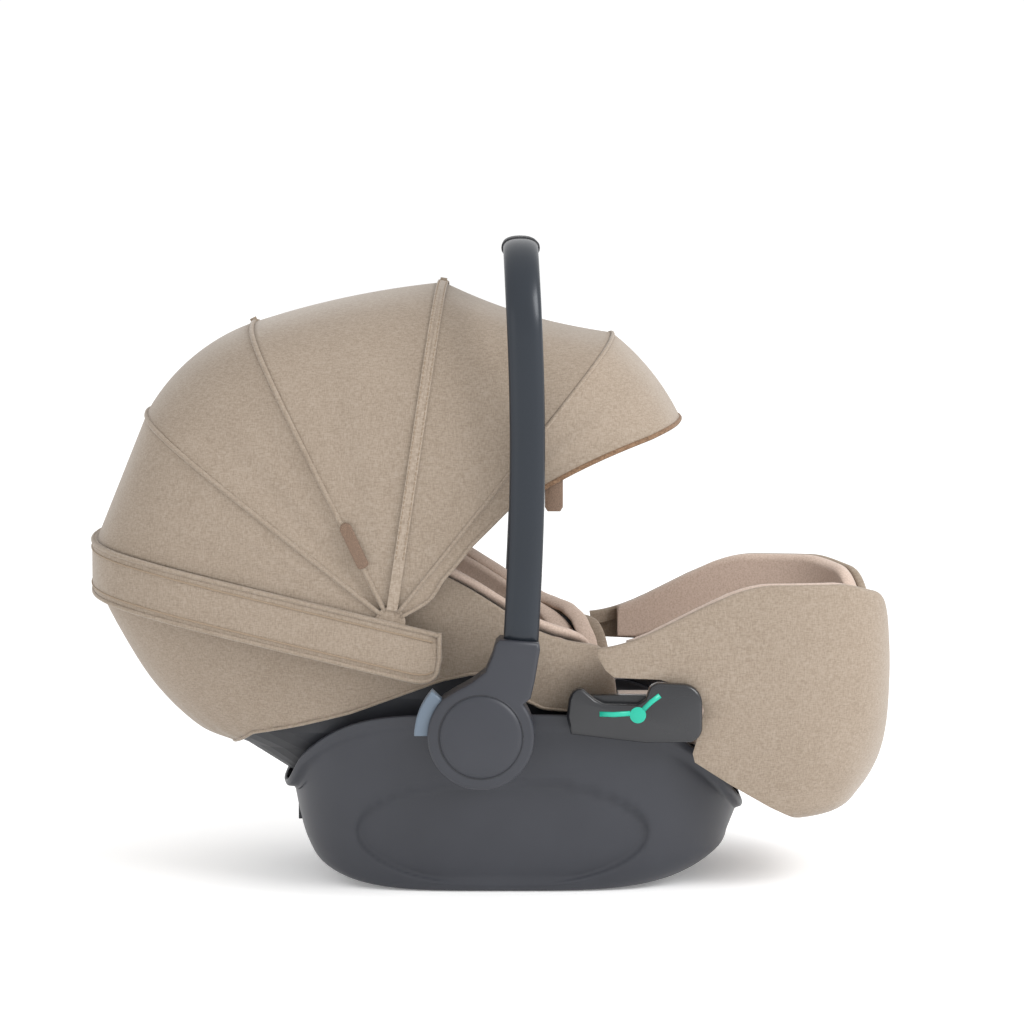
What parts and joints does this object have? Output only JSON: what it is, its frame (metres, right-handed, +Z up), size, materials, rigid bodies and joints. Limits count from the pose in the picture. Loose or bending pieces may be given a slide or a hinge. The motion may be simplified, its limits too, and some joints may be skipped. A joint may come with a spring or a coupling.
{
  "type": "infant car seat",
  "caption": "Lie-flat infant car seat: rocker base, swinging carry handle, reclining back and leg sections, five-point harness and folding canopy.",
  "frame": {"origin": "on the floor, below the hub axis and mid-way across, which is the middle of the object's footprint", "axes": "+X towards the foot end, +Z up, Y across; the hub axis runs along Y at Z = 0.155"},
  "size_m": [0.7589, 0.439, 0.605],
  "materials": {
    "base_plastic": "satin moulded",
    "black_plastic": "fine spark-eroded texture",
    "green_mark": "moulded colour",
    "rubber_pads": "matt",
    "steel": "zinc plated",
    "handle_coating": "satin",
    "grip_cover": "leather grain",
    "grey_button": "satin",
    "foam": "expanded bead foam",
    "woven_fabric": "heathered weave",
    "knit_pad": "smooth knit",
    "webbing": "woven webbing",
    "leatherette": "grained",
    "red_button": "gloss"
  },
  "bodies": {
    "base": {"base_shell": "base_plastic", "base_ribs": "base_plastic", "rocker_pads": "rubber_pads", "lock_bars": "steel", "belt_guides": "black_plastic", "belt_marks": "green_mark", "pivot_bosses": "base_plastic", "pivot_bolts": "steel", "lock_gears": "steel", "base_screws": "steel", "recline_latch": "steel", "latch_spring": "steel", "leg_pivots": "steel"},
    "release_lever": {"release_lever": "black_plastic"},
    "handle": {"handle_tube": "handle_coating", "handle_grip": "grip_cover", "hub_shell_left": "base_plastic", "hub_shell_right": "base_plastic", "hub_caps": "base_plastic", "button_springs": "steel"},
    "handle_button_left": {"handle_button_left": "grey_button"},
    "handle_button_right": {"handle_button_right": "grey_button"},
    "backrest": {"back_shell": "black_plastic", "back_liner": "foam", "back_cover": "woven_fabric", "back_pad": "knit_pad", "rim_pad": "knit_pad", "recline_plates": "steel", "recline_rack": "steel", "canopy_band": "woven_fabric", "canopy_rear": "woven_fabric", "canopy_pivots": "black_plastic", "crotch_strap": "webbing", "crotch_pad": "knit_pad", "buckle_body": "black_plastic", "adjuster_strap": "webbing", "shoulder_straps": "webbing", "chest_pads": "knit_pad", "buckle_tongues": "steel"},
    "buckle_button": {"buckle_button": "red_button"},
    "adjuster_button": {"adjuster_button": "black_plastic"},
    "headrest": {"headrest_board": "black_plastic", "headrest_cushion": "knit_pad"},
    "headrest_lever": {"headrest_lever": "black_plastic"},
    "canopy_a": {"rib_a": "black_plastic", "panel_ab": "woven_fabric"},
    "canopy_b": {"rib_b": "black_plastic", "panel_bc": "woven_fabric"},
    "canopy_c": {"rib_c": "black_plastic", "panel_cd": "woven_fabric"},
    "canopy_d": {"rib_d": "black_plastic", "visor": "woven_fabric", "front_tab": "leatherette"},
    "zip": {"zip_slider": "black_plastic", "zip_pull": "leatherette"},
    "leg_rest": {"leg_shell": "black_plastic", "leg_cover": "woven_fabric", "leg_pad": "knit_pad", "leg_arms": "steel"},
    "recline_lever": {"recline_lever": "black_plastic"}
  },
  "joints": [
    {"name": "handle_turn", "type": "hinge", "parent": "base", "child": "handle", "pos_m": [0, 0, 0.155], "axis": [0, 1, 0], "range_deg": [-108, 0]},
    {"name": "left_button_press", "type": "slide", "parent": "handle", "child": "handle_button_left", "axis": [0.9272, 0, -0.3746], "range_m": [0, 0.004], "stiffness_N_per_m": 600, "springref_m": -0.004},
    {"name": "right_button_press", "type": "slide", "parent": "handle", "child": "handle_button_right", "axis": [0.9272, 0, -0.3746], "range_m": [0, 0.004], "stiffness_N_per_m": 600, "springref_m": -0.004},
    {"name": "back_recline", "type": "hinge", "parent": "base", "child": "backrest", "pos_m": [0, 0, 0.155], "axis": [0, 1, 0], "range_deg": [0, 18]},
    {"name": "leg_tilt", "type": "hinge", "parent": "base", "child": "leg_rest", "pos_m": [0.125, 0, 0.17], "axis": [0, 1, 0], "range_deg": [-10, 0]},
    {"name": "canopy_a_fold", "type": "hinge", "parent": "backrest", "child": "canopy_a", "pos_m": [-0.083, 0, 0.255], "axis": [0, -1, 0], "range_deg": [0, 18.5]},
    {"name": "canopy_b_fold", "type": "hinge", "parent": "canopy_a", "child": "canopy_b", "pos_m": [-0.083, 0, 0.255], "axis": [0, -1, 0], "range_deg": [0, 20.5]},
    {"name": "canopy_fold", "type": "hinge", "parent": "canopy_b", "child": "canopy_c", "pos_m": [-0.083, 0, 0.255], "axis": [0, -1, 0], "range_deg": [0, 23]},
    {"name": "canopy_d_fold", "type": "hinge", "parent": "canopy_c", "child": "canopy_d", "pos_m": [-0.083, 0, 0.255], "axis": [0, -1, 0], "range_deg": [0, 26.2]},
    {"name": "zip_slide", "type": "slide", "parent": "canopy_b", "child": "zip", "axis": [-0.4226, 0, 0.9063], "range_m": [0, 0.09]},
    {"name": "headrest_slide", "type": "slide", "parent": "backrest", "child": "headrest", "axis": [-0.866, 0, 0.5], "range_m": [0, 0.05]},
    {"name": "headrest_lever_squeeze", "type": "slide", "parent": "headrest", "child": "headrest_lever", "axis": [-1, 0, 0], "range_m": [0, 0.005], "stiffness_N_per_m": 500, "springref_m": -0.004},
    {"name": "buckle_press", "type": "slide", "parent": "backrest", "child": "buckle_button", "axis": [0, 0, -1], "range_m": [0, 0.004], "stiffness_N_per_m": 800, "springref_m": -0.004},
    {"name": "adjuster_press", "type": "slide", "parent": "backrest", "child": "adjuster_button", "axis": [0, 0, -1], "range_m": [0, 0.003], "stiffness_N_per_m": 600, "springref_m": -0.004},
    {"name": "recline_lever_pull", "type": "slide", "parent": "leg_rest", "child": "recline_lever", "axis": [1, 0, 0], "range_m": [0, 0.008], "stiffness_N_per_m": 500, "springref_m": -0.004},
    {"name": "release_lever_pull", "type": "slide", "parent": "base", "child": "release_lever", "axis": [-1, 0, 0], "range_m": [0, 0.008], "stiffness_N_per_m": 500, "springref_m": -0.004}
  ],
  "couplings": [
    {"joint": "leg_tilt", "follows": "back_recline", "ratio": -0.5555},
    {"joint": "canopy_a_fold", "follows": "canopy_fold", "ratio": 0.8043},
    {"joint": "canopy_b_fold", "follows": "canopy_fold", "ratio": 0.8913},
    {"joint": "canopy_d_fold", "follows": "canopy_fold", "ratio": 1.139}
  ]
}
